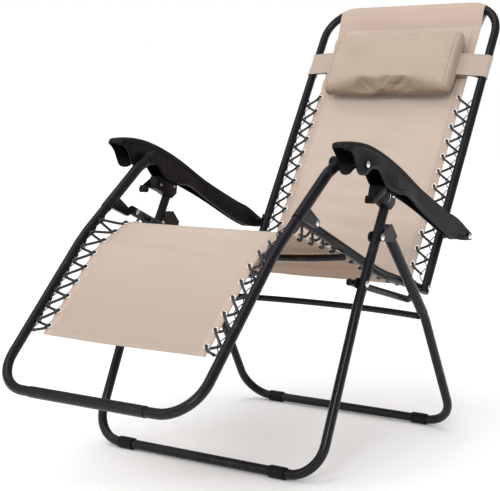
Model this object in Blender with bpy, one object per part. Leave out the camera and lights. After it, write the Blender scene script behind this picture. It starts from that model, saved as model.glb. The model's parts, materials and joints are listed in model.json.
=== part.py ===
"""Zero gravity recliner: a folding steel tube lounge chair with a laced fabric sling.

Every length is in metres. +Z is up and the sitter faces -Y, so +X is the sitter's left.
The chair is drawn in its side plane, as (y, z) points, and each piece then gets its place across, x.
Four pivots make a parallelogram: knee, seat_rear, arm_rear and arm_front. Seat rails and armrests are
its long sides, the back and the foot frame carry its short sides. The whole of it tilts on the front leg
about seat_pivot.
"""

import math

import bmesh
import bpy
from mathutils import Matrix, Vector

# ---- driving dimensions -------------------------------------------------------------------------

TUBE = 0.011  # radius of the 22 mm frame tubes
WIDE_TUBE = 0.0125  # radius of the 25 mm tubes that the thinner ones plug into
THIN_TUBE = 0.008  # radius of the 16 mm braces and cross bars
GAP = 0.0003  # what touching pieces keep between them
SHEET = 0.0025  # thickness of the pressed steel brackets
TUBE_SIDES = 12

LEG_X = 0.314  # middle of each leg and of each armrest
FRAME_X = 0.265  # middle of the back's and the foot frame's tubes
RAIL_X = 0.240  # middle of the seat rails
BRACE_X = 0.286  # middle of the seat braces
CORNER = 0.085  # bend radius of the back's and the foot frame's corners
GROUND_CORNER = 0.075  # bend radius of the leg frames at the floor

SLING_HALF = 0.2215  # half the width of the back's and the foot's cloth
SEAT_HALF = 0.219  # half the width of the seat's cloth
CLOTH = 0.0016  # thickness of the cloth
EYELET_X = 0.2132  # middle of the eyelets' rows
EYELET = 0.0034  # radius of an eyelet's hole
LACE_X = 0.2405  # where the back's and the foot's cords turn
SEAT_LACE_X = 0.2262  # where the seat's cords turn, beside the rails
CORD = 0.0018  # radius of the lacing cord
WIRE = 0.0013  # radius of the hook wire

PIN = 0.0035  # radius of a pivot's shank
PIN_HOLE = 0.0040  # radius of the hole it turns in
HEAD = 0.0075  # radius of a pivot's head
HEAD_HIGH = 0.003  # how far a head stands out

LENGTH_MIDDLE = 0.03925  # where the middle of the whole length lies in the side drawing


def side(y, z):
    """A point of the side drawing, moved so that the middle of the chair's length is at y = 0."""
    return Vector((y - LENGTH_MIDDLE, z))


def at(x, point):
    return Vector((x, point[0], point[1]))


def heading(degrees):
    """The unit direction in the side plane that lies this far above +Y."""
    angle = math.radians(degrees)
    return Vector((math.cos(angle), math.sin(angle)))


def square_to(direction):
    """The direction turned a quarter turn to the left in the side plane."""
    return Vector((-direction[1], direction[0]))


LINK = Vector((0.0904, 0.1242))  # the short side of the parallelogram
knee = side(-0.2004, 0.5518)
seat_rear = side(0.3045, 0.3600)
arm_front = knee + LINK
arm_rear = seat_rear + LINK
leg_pivot = side(-0.0260, 0.5120)  # where the rear leg hangs on the front leg
seat_pivot = side(-0.0830, 0.4134)  # where the seat's braces hang on the front leg

leg_top = side(0.0165, 0.5900)
leg_bend = side(-0.1050, 0.3650)
FLOOR_AXIS = 0.0135  # height of the floor bars' middle
front_floor = side(-0.2600, FLOOR_AXIS)
rear_floor = side(0.3720, FLOOR_AXIS)
rear_leg_top = side(0.0125, 0.5300)
rear_leg_joint = side(0.2003, 0.3130)  # where the wide tube ends and the 22 mm tube goes on

rail_bend = side(0.1200, 0.4120)
back_top = side(0.7096, 1.0724)
back_way = (back_top - seat_rear).normalized()
back_front = square_to(back_way)  # out of the cloth, towards the sitter
BACK_LENGTH = (back_top - seat_rear).length

link_joint = side(-0.2735, 0.5643)  # where the foot frame plugs into its links
link_way = heading(37.7)
foot_bend = side(-0.3507, 0.5046)
foot_end = side(-0.6320, 0.2070)
lever_pivot = side(-0.0240, 0.6160)

SIDES = (("left", 1), ("right", -1))

# ---- materials ----------------------------------------------------------------------------------


def material(name, colour, roughness, metallic=0.0):
    made = bpy.data.materials.new(name)
    made.use_nodes = True
    shader = made.node_tree.nodes["Principled BSDF"]
    shader.inputs["Base Color"].default_value = (*colour, 1.0)
    shader.inputs["Roughness"].default_value = roughness
    shader.inputs["Metallic"].default_value = metallic
    made.diffuse_color = (*colour, 1.0)
    return made


# ---- shapes -------------------------------------------------------------------------------------


def place(obj, surface, pivot):
    obj.data.materials.clear()
    obj.data.materials.append(surface)
    bpy.context.scene.collection.objects.link(obj)
    if pivot:
        obj.parent = pivot
        obj.matrix_parent_inverse = Matrix.Translation(-pivot.location)
    return obj


def solid(name, bm, surface, pivot, smooth=False):
    """The bmesh as one object, its faces turned outwards."""
    bmesh.ops.recalc_face_normals(bm, faces=bm.faces)
    mesh = bpy.data.meshes.new(name)
    bm.to_mesh(mesh)
    bm.free()
    mesh.polygons.foreach_set("use_smooth", [smooth] * len(mesh.polygons))
    return place(bpy.data.objects.new(name, mesh), surface, pivot)


def rounded(points, radii, step=math.radians(9)):
    """The points with each inner one replaced by an arc of its radius."""
    path = [points[0]]
    for before, corner, after, radius in zip(points, points[1:], points[2:], radii):
        arrive = (corner - before).normalized()
        leave = (after - corner).normalized()
        turn = arrive.angle(leave)
        reach = radius * math.tan(turn / 2)
        centre_way = (leave - arrive).normalized()
        centre = corner + centre_way * radius / math.cos(turn / 2)
        start = corner - arrive * reach - centre
        axis = arrive.cross(leave).normalized()
        steps = max(1, math.ceil(turn / step))
        for i in range(steps + 1):
            path.append(centre + Matrix.Rotation(turn * i / steps, 3, axis) @ start)
    path.append(points[-1])
    return path


def tube(name, path, radius, surface, pivot, sides=TUBE_SIDES):
    """A round bar along the path with flat ends, as a welded mesh."""
    curve = bpy.data.curves.new(name, "CURVE")
    curve.dimensions = "3D"
    curve.bevel_depth = radius
    curve.bevel_resolution = sides // 2 - 2
    curve.use_fill_caps = True
    spline = curve.splines.new("POLY")
    spline.points.add(len(path) - 1)
    for point, place_of in zip(spline.points, path):
        point.co = (*place_of, 1.0)
    drawn = bpy.data.objects.new(name, curve)
    bpy.context.scene.collection.objects.link(drawn)
    graph = bpy.context.evaluated_depsgraph_get()
    bm = bmesh.new()
    bm.from_mesh(bpy.data.meshes.new_from_object(drawn.evaluated_get(graph)))
    bpy.data.objects.remove(drawn)
    bmesh.ops.remove_doubles(bm, verts=bm.verts, dist=1e-6)
    return solid(name, bm, surface, pivot, smooth=True)


def mirrored(points):
    """A path drawn on the left, carried on to its mirror image on the right."""
    return points + [Vector((-p.x, p.y, p.z)) for p in reversed(points)]


def turned(name, profile, centre, surface, pivot, way=Vector((1, 0, 0)), closed=False, phase=0.0):
    """A profile of (distance along the axis, radius) turned about an axis through the centre."""
    sides = TUBE_SIDES
    bm = bmesh.new()
    turn = way.to_track_quat("Z", "Y").to_matrix().to_4x4()
    rings = []
    for along, radius in profile:
        angles = [2 * math.pi * (i + phase) / sides for i in range(sides)]
        rings.append([bm.verts.new((radius * math.cos(a), radius * math.sin(a), along)) for a in angles])
    pairs = list(zip(rings, rings[1:] + rings[:1])) if closed else list(zip(rings, rings[1:]))
    for one, two in pairs:
        for i in range(sides):
            j = (i + 1) % sides
            bm.faces.new((one[i], one[j], two[j], two[i]))
    if not closed:
        bm.faces.new(rings[0])
        bm.faces.new(rings[-1])
    bm.transform(Matrix.Translation(centre) @ turn)
    return solid(name, bm, surface, pivot, smooth=True)


def ring(name, x0, x1, inner, outer, centre, surface, pivot, way=Vector((1, 0, 0))):
    profile = [(x0, inner), (x0, outer), (x1, outer), (x1, inner)]
    return turned(name, profile, centre, surface, pivot, way, closed=True)


def plate(name, outline, x0, x1, surface, pivot):
    """A side drawing's outline given a thickness from x0 to x1."""
    bm = bmesh.new()
    face = bm.faces.new([bm.verts.new(at(x0, p)) for p in outline])
    grown = bmesh.ops.extrude_face_region(bm, geom=[face])
    moved = [v for v in grown["geom"] if isinstance(v, bmesh.types.BMVert)]
    bmesh.ops.translate(bm, verts=moved, vec=(x1 - x0, 0, 0))
    return solid(name, bm, surface, pivot)


def boss(centre, radius, start, sweep, steps=8):
    """Points of an arc round a pivot, for a plate's outline, in degrees."""
    return [centre + radius * heading(start + sweep * i / steps) for i in range(steps + 1)]


def helper(obj):
    """Hides a cutter or a piece that a Boolean joins on, so that it isn't a node."""
    obj.hide_render = True
    obj.hide_viewport = False
    obj.display_type = "WIRE"
    return obj


def combine(obj, other, operation):
    step = obj.modifiers.new(operation.title(), "BOOLEAN")
    step.operation = operation
    step.solver = "EXACT"
    step.object = helper(other)


def drill(obj, holes):
    """Cuts one round hole for each (centre, axis, radius, length)."""
    bm = bmesh.new()
    for centre, axis, radius, length in holes:
        turn = axis.to_track_quat("Z", "Y").to_matrix().to_4x4()
        bmesh.ops.create_cone(
            bm,
            cap_ends=True,
            segments=TUBE_SIDES if radius > EYELET else 6,
            radius1=radius,
            radius2=radius,
            depth=length,
            matrix=Matrix.Translation(centre) @ turn,
        )
    combine(obj, solid(obj.name + "_holes", bm, obj.data.materials[0], None), "DIFFERENCE")


def across(x, point, radius=PIN_HOLE, length=0.08):
    """A hole along X for drill."""
    return (at(x, point), Vector((1, 0, 0)), radius, length)


def pin(name, hand, x0, x1, centre, surface, pivot, inner_head=HEAD, barrel=None):
    """A rivet from x0 to x1 with a domed head at each end and, between two pieces, a spacer barrel."""
    dome = 0.6
    profile = [
        (x0 - HEAD_HIGH, dome * inner_head),
        (x0 - 0.4 * HEAD_HIGH, inner_head),
        (x0, inner_head),
        (x0, PIN),
    ]
    if barrel:
        start, end, radius = barrel
        profile += [(start, PIN), (start, radius), (end, radius), (end, PIN)]
    profile += [(x1, PIN), (x1, HEAD), (x1 + 0.4 * HEAD_HIGH, HEAD), (x1 + HEAD_HIGH, dome * HEAD)]
    if hand < 0:
        profile = [(-x, r) for x, r in profile]
    return turned(name, profile, at(0, centre), surface, pivot)


def empty(name, point):
    """The frame that a moving body hangs on, placed on its joint's axis."""
    made = bpy.data.objects.new(name, None)
    made.location = at(0, point)
    made.empty_display_size = 0.03
    bpy.context.scene.collection.objects.link(made)
    return made


# ---- smooth lines of the side drawing -----------------------------------------------------------


def eased(knots, value):
    """A smooth curve through knots of (input, output)."""
    for (x0, y0), (x1, y1) in zip(knots, knots[1:]):
        if value <= x1:
            break
    index = next(i for i, knot in enumerate(knots) if knot == (x0, y0))
    before = knots[max(index - 1, 0)]
    after = knots[min(index + 2, len(knots) - 1)]
    slope0 = (y1 - before[1]) / (x1 - before[0])
    slope1 = (after[1] - y0) / (after[0] - x0)
    width = x1 - x0
    t = min(max((value - x0) / width, 0.0), 1.0)
    return (
        (2 * t**3 - 3 * t**2 + 1) * y0
        + (t**3 - 2 * t**2 + t) * width * slope0
        + (3 * t**2 - 2 * t**3) * y1
        + (t**3 - t**2) * width * slope1
    )


def walk(line, distance):
    """The point and direction this far along a line of side points."""
    for start, end in zip(line, line[1:]):
        length = (end - start).length
        if distance <= length or end is line[-1]:
            way = (end - start) / length
            return start + way * distance, way
        distance -= length


# ---- the cloth and its lacing -------------------------------------------------------------------

BACK_CLOTH = [seat_rear + 0.009 * back_way, seat_rear + (BACK_LENGTH - 0.0255) * back_way]
SEAT_CLOTH = [
    side(-0.2470, 0.5325),
    side(-0.2000, 0.5195),
    side(-0.1000, 0.4945),
    side(0.0000, 0.4640),
    side(0.1200, 0.4110),
    seat_rear - 0.009 * (seat_rear - rail_bend).normalized(),
]
FOOT_CLOTH = [
    side(-0.2515, 0.5335),
    side(-0.3000, 0.5145),
    side(-0.3350, 0.4970),
    side(-0.3600, 0.4780),
    side(-0.5280, 0.3080),
]

BACK_EYELETS = [0.5311 - 0.0436 * i for i in range(12)]  # distances along the back's cloth
SEAT_EYELETS = [0.0250 + 0.0460 * i for i in range(12)]
FOOT_EYELETS = [0.0080 + 0.0413 * i for i in range(9)]


def cloth(name, line, half_width, eyelets, surface, pivot):
    """A sheet of cloth along a line of the side drawing, with its eyelet holes."""
    outline = []
    for way_out in (1, -1):
        shifted = []
        for i, point in enumerate(line):
            before = line[max(i - 1, 0)]
            after = line[min(i + 1, len(line) - 1)]
            shifted.append(point + way_out * CLOTH / 2 * square_to((after - before).normalized()))
        outline += shifted if way_out > 0 else shifted[::-1]
    made = plate(name, outline, -half_width, half_width, surface, pivot)
    holes = []
    for distance in eyelets:
        point, way = walk(line, distance)
        for _, hand in SIDES:
            holes.append((at(hand * EYELET_X, point), at(0, square_to(way)), EYELET, 0.02))
    return made, holes


def lacing(name, hand, line, eyelets, node_x, lift, surface, pivot):
    """A cord that zigzags: over the cloth to an eyelet, down through it, under the edge to the next node."""
    step = abs(eyelets[1] - eyelets[0]) / 2
    order = sorted(eyelets)
    route = [hooked(hand * node_x, line, order[0] - step)]
    for distance in order:
        point, way = walk(line, distance)
        up = square_to(way)
        if line is FOOT_CLOTH:
            up = -up
        route.append(at(hand * EYELET_X, point + lift * up))
        route.append(at(hand * EYELET_X, point - lift * up))
        route.append(hooked(hand * node_x, line, distance + step))
    return tube(name, route, CORD, surface, pivot, sides=6)


def hooked(x, line, distance):
    return at(x, walk(line, distance)[0])


def hooks(name, hand, line, eyelets, frame_line, frame_tube, surface, pivot):
    """A bent wire along a tube's inner side, with one hook beside each turn of the cord."""
    step = abs(eyelets[1] - eyelets[0]) / 2
    crest_x = LACE_X + CORD + WIRE + GAP + 0.0004
    foot_x = FRAME_X - frame_tube - WIRE - GAP - 0.0002
    order = sorted(eyelets)
    turns = [order[0] - step] + [distance + step for distance in order]
    route = []
    for distance in turns:
        for shift, out in ((-0.013, True), (-0.004, False), (0.004, False), (0.013, True)):
            cloth_point = walk(line, distance + shift)[0]
            point = nearest(frame_line, cloth_point) if out else cloth_point
            route.append(at(hand * (foot_x if out else crest_x), point))
    return tube(name, route, WIRE, surface, pivot, sides=4)


def nearest(line, point):
    """The point of a line of side points that is nearest to another point."""
    best = None
    for start, end in zip(line, line[1:]):
        way = end - start
        share = min(max((point - start).dot(way) / way.length_squared, 0.0), 1.0)
        found = start + share * way
        if best is None or (found - point).length < (best - point).length:
            best = found
    return best


# ---- the base: front leg and rear leg -----------------------------------------------------------


def front_leg(paint, plastic, steel):
    path = rounded(
        mirrored([at(LEG_X, leg_top), at(LEG_X, leg_bend), at(LEG_X, front_floor)]),
        [0.25, GROUND_CORNER, GROUND_CORNER, 0.25],
    )
    frame = tube("front_leg_frame", path, TUBE, paint, None)
    drill(frame, [across(hand * LEG_X, p) for _, hand in SIDES for p in (leg_pivot, seat_pivot)])
    for word, hand in SIDES:
        reach = TUBE + 0.0044 + GAP
        pin(f"leg_pivot_pin_{word}", hand, LEG_X - reach, LEG_X + reach, leg_pivot, steel, None)
        inner = BRACE_X - THIN_TUBE - GAP
        gap_start = BRACE_X + THIN_TUBE + GAP
        gap_end = LEG_X - TUBE - GAP
        barrel = (gap_start, gap_end, 0.006)
        name = f"seat_pivot_pin_{word}"
        pin(name, hand, inner, LEG_X + TUBE + GAP, seat_pivot, steel, None, barrel=barrel)
        foot_cap(f"front_foot_cap_{word}", hand * 0.214, front_floor, plastic, None)
        lock_housing(word, hand, plastic)


def foot_cap(name, x, floor_point, plastic, pivot):
    """A plastic sleeve round a floor bar. The chair stands on the narrow flat along its underside."""
    half = 0.020
    inner = TUBE + 0.0008
    outer = FLOOR_AXIS / math.cos(math.pi / TUBE_SIDES)
    profile = [(-half, inner), (-half, outer), (half, outer), (half, inner)]
    turned(name, profile, at(x, floor_point), plastic, pivot, closed=True, phase=0.5)


def lock_housing(word, hand, plastic):
    """The clamp on the front leg's top that grips the armrest's channel."""
    half = 0.014
    outline = [
        side(-0.0470, 0.5990),
        side(-0.0380, 0.6270),
        side(0.0140, 0.6270),
        side(0.0380, 0.6120),
        side(0.0350, 0.5820),
        side(0.0160, 0.5705),
        side(-0.0140, 0.5865),
    ]
    x = hand * LEG_X
    housing = plate(f"lock_housing_{word}", outline, x - half, x + half, plastic, None)
    way = (leg_top - leg_bend).normalized()
    socket_length = 0.06
    socket = leg_top + (2 * GAP - socket_length / 2) * way
    stub = (at(hand * (LEG_X + half - 0.0035), lever_pivot), Vector((1, 0, 0)), PIN_HOLE, 0.0072)
    drill(housing, [(at(x, socket), at(0, way), TUBE + 0.0008, socket_length), stub])


def lock_lever(word, hand, plastic):
    """A side plate on the housing's outer face, with a short paddle at its front end."""
    pivot = empty(f"lever_pivot_{word}", lever_pivot)
    inner = LEG_X + 0.014 + GAP
    outer = LEG_X + 0.0185
    paddle = side(-0.0690, 0.5960)
    way = (paddle - lever_pivot).normalized()
    thin = math.degrees(math.atan2(way[1], way[0]))
    outline = boss(lever_pivot, 0.009, thin + 90, 180) + boss(paddle, 0.007, thin - 90, 180)
    lever = plate(f"lock_lever_{word}", outline, hand * inner, hand * outer, plastic, pivot)
    grip_outline = boss(paddle, 0.007, thin - 90, 180) + boss(paddle + 0.006 * -way, 0.007, thin + 90, 180)
    grip = plate("grip", grip_outline, hand * (LEG_X - 0.002), hand * outer, plastic, None)
    combine(lever, grip, "UNION")
    stub_end = LEG_X + 0.014 - 0.0060
    stub = turned(
        "stub", [(hand * stub_end, PIN), (hand * (inner + 0.002), PIN)], at(0, lever_pivot), plastic, None
    )
    combine(lever, stub, "UNION")


def rear_leg(paint, plastic):
    pivot = empty("rear_leg_pivot", leg_pivot)
    way = (rear_leg_joint - rear_leg_top).normalized()
    start = rear_leg_joint + GAP * way
    bend = rear_leg_joint + 0.016 * way
    path = rounded(
        mirrored([at(LEG_X, start), at(LEG_X, bend), at(LEG_X, rear_floor)]),
        [0.06, GROUND_CORNER, GROUND_CORNER, 0.06],
    )
    tube("rear_leg_frame", path, TUBE, paint, pivot)
    for word, hand in SIDES:
        ends = [at(hand * LEG_X, rear_leg_top), at(hand * LEG_X, rear_leg_joint)]
        tube(f"rear_leg_sleeve_{word}", ends, WIDE_TUBE, paint, pivot)
        rear_bracket(word, hand, way, paint, pivot)
        foot_cap(f"rear_foot_cap_{word}", hand * 0.220, rear_floor, plastic, pivot)
    rear_cross_bar(paint, pivot)


def rear_bracket(word, hand, way, paint, pivot):
    """A fork: a cheek on each side of the front leg, joined behind it over the rear leg's end."""
    inner = WIDE_TUBE + GAP
    across_way = square_to(way)
    angle = math.degrees(math.atan2(way[1], way[0]))
    width = 0.0095
    cheek = boss(leg_pivot, width, angle + 125, 150)
    low_edge, high_edge = rear_leg_top - width * across_way, rear_leg_top + width * across_way
    cheek += [low_edge + 0.036 * way, high_edge + 0.036 * way, high_edge - 0.004 * way]
    low = hand * LEG_X - inner - SHEET
    high = hand * LEG_X + inner
    fork = plate(f"rear_bracket_{word}", cheek, low, low + SHEET, paint, pivot)
    combine(fork, plate("cheek", cheek, high, high + SHEET, paint, None), "UNION")
    near, far = rear_leg_top - GAP * way, rear_leg_top - (GAP + SHEET) * way
    narrow = 0.9 * width
    web = [near + narrow * across_way, near - narrow * across_way]
    web += [far - narrow * across_way, far + narrow * across_way]
    combine(fork, plate("web", web, low + SHEET / 2, high + SHEET / 2, paint, None), "UNION")
    drill(fork, [across(hand * LEG_X, leg_pivot)])


def rear_cross_bar(paint, pivot):
    """A bowed bar between the rear legs, just behind the wide tubes' ends."""
    end_x = LEG_X - TUBE - 0.0034  # the bow tilts its end faces
    end = side(0.2090, 0.3040)
    bow = side(0.2600, 0.3020) - end
    steps = 12
    shares = [2 * i / steps - 1 for i in range(steps + 1)]
    tube("rear_cross_bar", [at(s * end_x, end + (1 - s * s) * bow) for s in shares], THIN_TUBE, paint, pivot)


# ---- the seat -----------------------------------------------------------------------------------


def seat_frame(paint, fabric, cord, pivot):
    over = 0.014  # how far a rail runs past its end pivots
    rail_front = knee + over * (knee - rail_bend).normalized()
    rail_rear = seat_rear + over * (seat_rear - rail_bend).normalized()
    for word, hand in SIDES:
        x = hand * RAIL_X
        path = rounded([at(x, rail_front), at(x, rail_bend), at(x, rail_rear)], [0.30])
        rail = tube(f"seat_rail_{word}", path, TUBE, paint, pivot)
        drill(rail, [across(x, knee), across(x, seat_rear)])
        seat_brace(word, hand, paint, pivot)
        name = f"seat_lacing_{word}"
        lacing(name, hand, SEAT_CLOTH, SEAT_EYELETS, SEAT_LACE_X, 0.0066, cord, pivot)
    seat_cross_bar(paint, pivot)
    sheet, holes = cloth("seat_sling", SEAT_CLOTH, SEAT_HALF, SEAT_EYELETS, fabric, pivot)
    drill(sheet, holes)


def seat_brace(word, hand, paint, pivot):
    """A thin tube from the front leg back under the rail, then up and in to the rail's side."""
    low = side(0.1900, 0.3435)
    front = seat_pivot - 0.012 * (low - seat_pivot).normalized()
    meet = side(0.2220, 0.3833)
    path = rounded(
        [
            at(hand * BRACE_X, front),
            at(hand * BRACE_X, low),
            at(hand * (BRACE_X - 0.006), meet),
            at(hand * (RAIL_X + TUBE + 2 * GAP), meet),
        ],
        [0.03, 0.014],
    )
    brace = tube(f"seat_brace_{word}", path, THIN_TUBE, paint, pivot)
    drill(brace, [across(hand * BRACE_X, seat_pivot, length=0.03)])


def seat_cross_bar(paint, pivot):
    """A bar bowed down under the cloth, from rail to rail."""
    end = side(-0.0500, 0.4645)
    bow = Vector((0.0, -0.014))
    steps = 12
    end_x = RAIL_X + 0.006
    shares = [2 * i / steps - 1 for i in range(steps + 1)]
    tube("seat_cross_bar", [at(s * end_x, end + (1 - s * s) * bow) for s in shares], THIN_TUBE, paint, pivot)


# ---- the pivots at the corners of the parallelogram ---------------------------------------------


def corner_pins(steel, seat_hinge, back_hinge):
    """The rivets fast in the seat's rails, and those fast in the back's armrest brackets."""
    rail_inside = RAIL_X - TUBE - GAP
    for word, hand in SIDES:
        pin(f"back_pivot_pin_{word}", hand, rail_inside, FRAME_X + TUBE + GAP, seat_rear, steel, seat_hinge)
        pin(f"knee_pivot_pin_{word}", hand, rail_inside, FRAME_X + 0.005 + GAP, knee, steel, seat_hinge)
        start = FRAME_X + TUBE + GAP
        barrel = (start + SHEET + GAP, LEG_X - ARM_HALF - GAP, 0.006)
        name = f"armrest_rear_pin_{word}"
        end = LEG_X + ARM_HALF + GAP
        pin(name, hand, start - GAP, end, arm_rear, steel, back_hinge, inner_head=0.0050, barrel=barrel)


# ---- the back -----------------------------------------------------------------------------------


def back(paint, fabric, cord, pivot):
    below = 0.015
    low = seat_rear - below * back_way
    path = rounded(mirrored([at(FRAME_X, low), at(FRAME_X, back_top)]), [CORNER, CORNER])
    frame = tube("back_frame", path, TUBE, paint, pivot)
    drill(frame, [across(hand * FRAME_X, seat_rear, length=0.04) for _, hand in SIDES])
    sheet, holes = cloth("back_sling", BACK_CLOTH, SLING_HALF, BACK_EYELETS, fabric, pivot)
    pocket_half = FRAME_X - CORNER - 0.003
    inner, outer = TUBE + 0.0008, TUBE + 0.0024
    pocket = ring("pocket", -pocket_half, pocket_half, inner, outer, at(0, back_top), fabric, None)
    lip = []
    for distance, way_out in ((0.030, 1), (0.030, -1), (inner + CLOTH / 2, -1), (inner + CLOTH / 2, 1)):
        lip.append(back_top - distance * back_way + way_out * CLOTH / 4 * back_front)
    combine(sheet, plate("lip", lip, -pocket_half, pocket_half, fabric, None), "UNION")
    combine(sheet, pocket, "UNION")
    drill(sheet, holes)
    for word, hand in SIDES:
        armrest_bracket(word, hand, paint, pivot)
        name = f"back_hooks_{word}"
        hooks(name, hand, BACK_CLOTH, BACK_EYELETS, [seat_rear, back_top], TUBE, paint, pivot)
        lacing(f"back_lacing_{word}", hand, BACK_CLOTH, BACK_EYELETS, LACE_X, 0.0056, cord, pivot)


def armrest_bracket(word, hand, paint, pivot):
    """An ear on the back tube's outer side that carries the armrest's rear end."""
    inner = FRAME_X + TUBE + GAP
    foot = nearest([seat_rear, back_top], arm_rear)
    out = (arm_rear - foot).normalized()
    angle = math.degrees(math.atan2(out[1], out[0]))
    outline = [foot + 0.018 * back_way, foot - 0.006 * out + 0.018 * back_way]
    outline += [foot - 0.006 * out - 0.018 * back_way, foot - 0.018 * back_way]
    outline += boss(arm_rear, 0.0085, angle - 90, 180)
    ear = plate(f"armrest_bracket_{word}", outline, hand * inner, hand * (inner + SHEET), paint, pivot)
    drill(ear, [across(hand * (inner + SHEET / 2), arm_rear, length=0.02)])


# ---- the pillow ---------------------------------------------------------------------------------

PILLOW_HALF = Vector((0.186, 0.095, 0.031))  # half its width, height and thickness
PILLOW_AT = 0.631  # distance of its middle up the back
STRAP_LOW, STRAP_HIGH = 0.600, 0.664  # where the straps lie on the back tubes


def pillow(fabric):
    middle = seat_rear + PILLOW_AT * back_way
    pivot = empty("pillow_slide", middle)
    cushion(middle + (CLOTH / 2 + 0.001 + PILLOW_HALF.z) * back_front, fabric, pivot)
    way = at(0, back_way)
    for word, hand in SIDES:
        centre = at(hand * FRAME_X, seat_rear)
        strap = ring(
            f"pillow_strap_{word}",
            STRAP_LOW,
            STRAP_HIGH,
            TUBE + 0.0009,
            TUBE + 0.0024,
            centre,
            fabric,
            pivot,
            way,
        )
        lift = TUBE + 0.0013
        corners = [(STRAP_LOW, lift), (STRAP_HIGH, lift), (STRAP_HIGH, lift + 0.0012), (STRAP_LOW, lift + 0.0012)]
        outline = [seat_rear + s * back_way + n * back_front for s, n in corners]
        tab = plate("tab", outline, hand * (PILLOW_HALF.x + 0.002), hand * FRAME_X, fabric, None)
        combine(strap, tab, "UNION")


def cushion(centre, fabric, pivot):
    """A rounded box whose corners follow a superellipsoid."""
    bm = bmesh.new()
    bmesh.ops.create_uvsphere(bm, u_segments=20, v_segments=10, radius=1.0)
    turn = Matrix((
        (1, 0, 0),
        (0, back_way[0], back_front[0]),
        (0, back_way[1], back_front[1]),
    ))
    blunt = Vector((0.35, 0.6, 0.8))  # under 1 makes that direction boxier
    for v in bm.verts:
        blunted = [math.copysign(abs(c) ** b, c) * h for c, b, h in zip(v.co, blunt, PILLOW_HALF)]
        v.co = at(0, centre) + turn @ Vector(blunted)
    solid("pillow", bm, fabric, pivot, smooth=True)


# ---- the armrests -------------------------------------------------------------------------------

ARM_HALF = 0.0225  # half an armrest's width along most of its length
ARM_FRONT_HALF = 0.025
ARM_WALL = 0.003
ARM_TOP = [  # height of its ridge along the side drawing's y
    (-0.190, 0.7130),
    (-0.176, 0.7235),
    (-0.140, 0.7250),
    (-0.090, 0.7170),
    (-0.020, 0.6950),
    (0.050, 0.6640),
    (0.150, 0.6115),
    (0.285, 0.5530),
    (0.335, 0.5345),
    (0.385, 0.5070),
    (0.408, 0.4930),
]
ARM_SKIRT = [  # height of its lower edges
    (-0.190, 0.7085),
    (-0.174, 0.7050),
    (-0.158, 0.6850),
    (-0.150, 0.6640),
    (-0.136, 0.6540),
    (-0.110, 0.6540),
    (-0.088, 0.6650),
    (-0.055, 0.6600),
    (-0.020, 0.6240),
    (0.044, 0.6040),
    (0.075, 0.6000),
    (0.169, 0.5570),
    (0.283, 0.5030),
    (0.350, 0.4790),
    (0.408, 0.4730),
]
ARM_LOWER_SHARE = [  # how wide the channel is at its lower edges, as a share of its width at the top
    (-0.190, 1.0),
    (0.070, 1.0),
    (0.170, 0.5),
    (0.330, 0.5),
    (0.375, 1.0),
    (0.408, 1.0),
]
ARM_STATIONS = 22


def armrests(plastic, steel, pivot):
    for word, hand in SIDES:
        armrest(word, hand, plastic, pivot)
        front_half = arm_half_at(arm_front[0] + LENGTH_MIDDLE)
        inner = FRAME_X - WIDE_TUBE - GAP
        barrel = (FRAME_X + WIDE_TUBE + GAP, LEG_X - front_half - GAP, 0.010)
        name = f"armrest_front_pin_{word}"
        end = LEG_X + front_half + GAP
        pin(name, hand, inner, end, arm_front, steel, pivot, barrel=barrel)


def arm_half_at(y):
    return eased([(-0.190, ARM_FRONT_HALF), (-0.120, ARM_FRONT_HALF), (0.000, ARM_HALF), (0.408, ARM_HALF)], y)


def armrest(word, hand, plastic, pivot):
    """An upside-down channel: a crowned top and two skirts, lofted through upright sections."""
    bm = bmesh.new()
    sections = []
    first, last = ARM_TOP[0][0], ARM_TOP[-1][0]
    for i in range(ARM_STATIONS + 1):
        y = first + (last - first) * i / ARM_STATIONS
        half = arm_half_at(y)
        hollow = half - ARM_WALL
        top = eased(ARM_TOP, y)
        edge = eased(ARM_SKIRT, y)
        low = half * min(1.0, eased(ARM_LOWER_SHARE, y))
        right = [(low, edge), (half, top - 0.004), (0.75 * half, top - 0.0008)]
        left = [(-x, z) for x, z in reversed(right)]
        wide = (hollow, top - 0.0070)
        tight = (low - ARM_WALL, edge)
        inside = [(-tight[0], edge), (-wide[0], wide[1]), (0.0, top - 0.0040), wide, tight]
        section = right + [(0.0, top)] + left + inside
        sections.append([bm.verts.new(at(hand * LEG_X + x, side(y, z))) for x, z in section])
    for one, two in zip(sections, sections[1:]):
        for j in range(len(one)):
            k = (j + 1) % len(one)
            bm.faces.new((one[j], one[k], two[k], two[j]))
    bm.faces.new(sections[0])
    bm.faces.new(sections[-1])
    shell = solid(f"armrest_{word}", bm, plastic, pivot)
    drill(shell, [across(hand * LEG_X, p) for p in (arm_front, arm_rear)])


# ---- the foot frame -----------------------------------------------------------------------------


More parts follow.
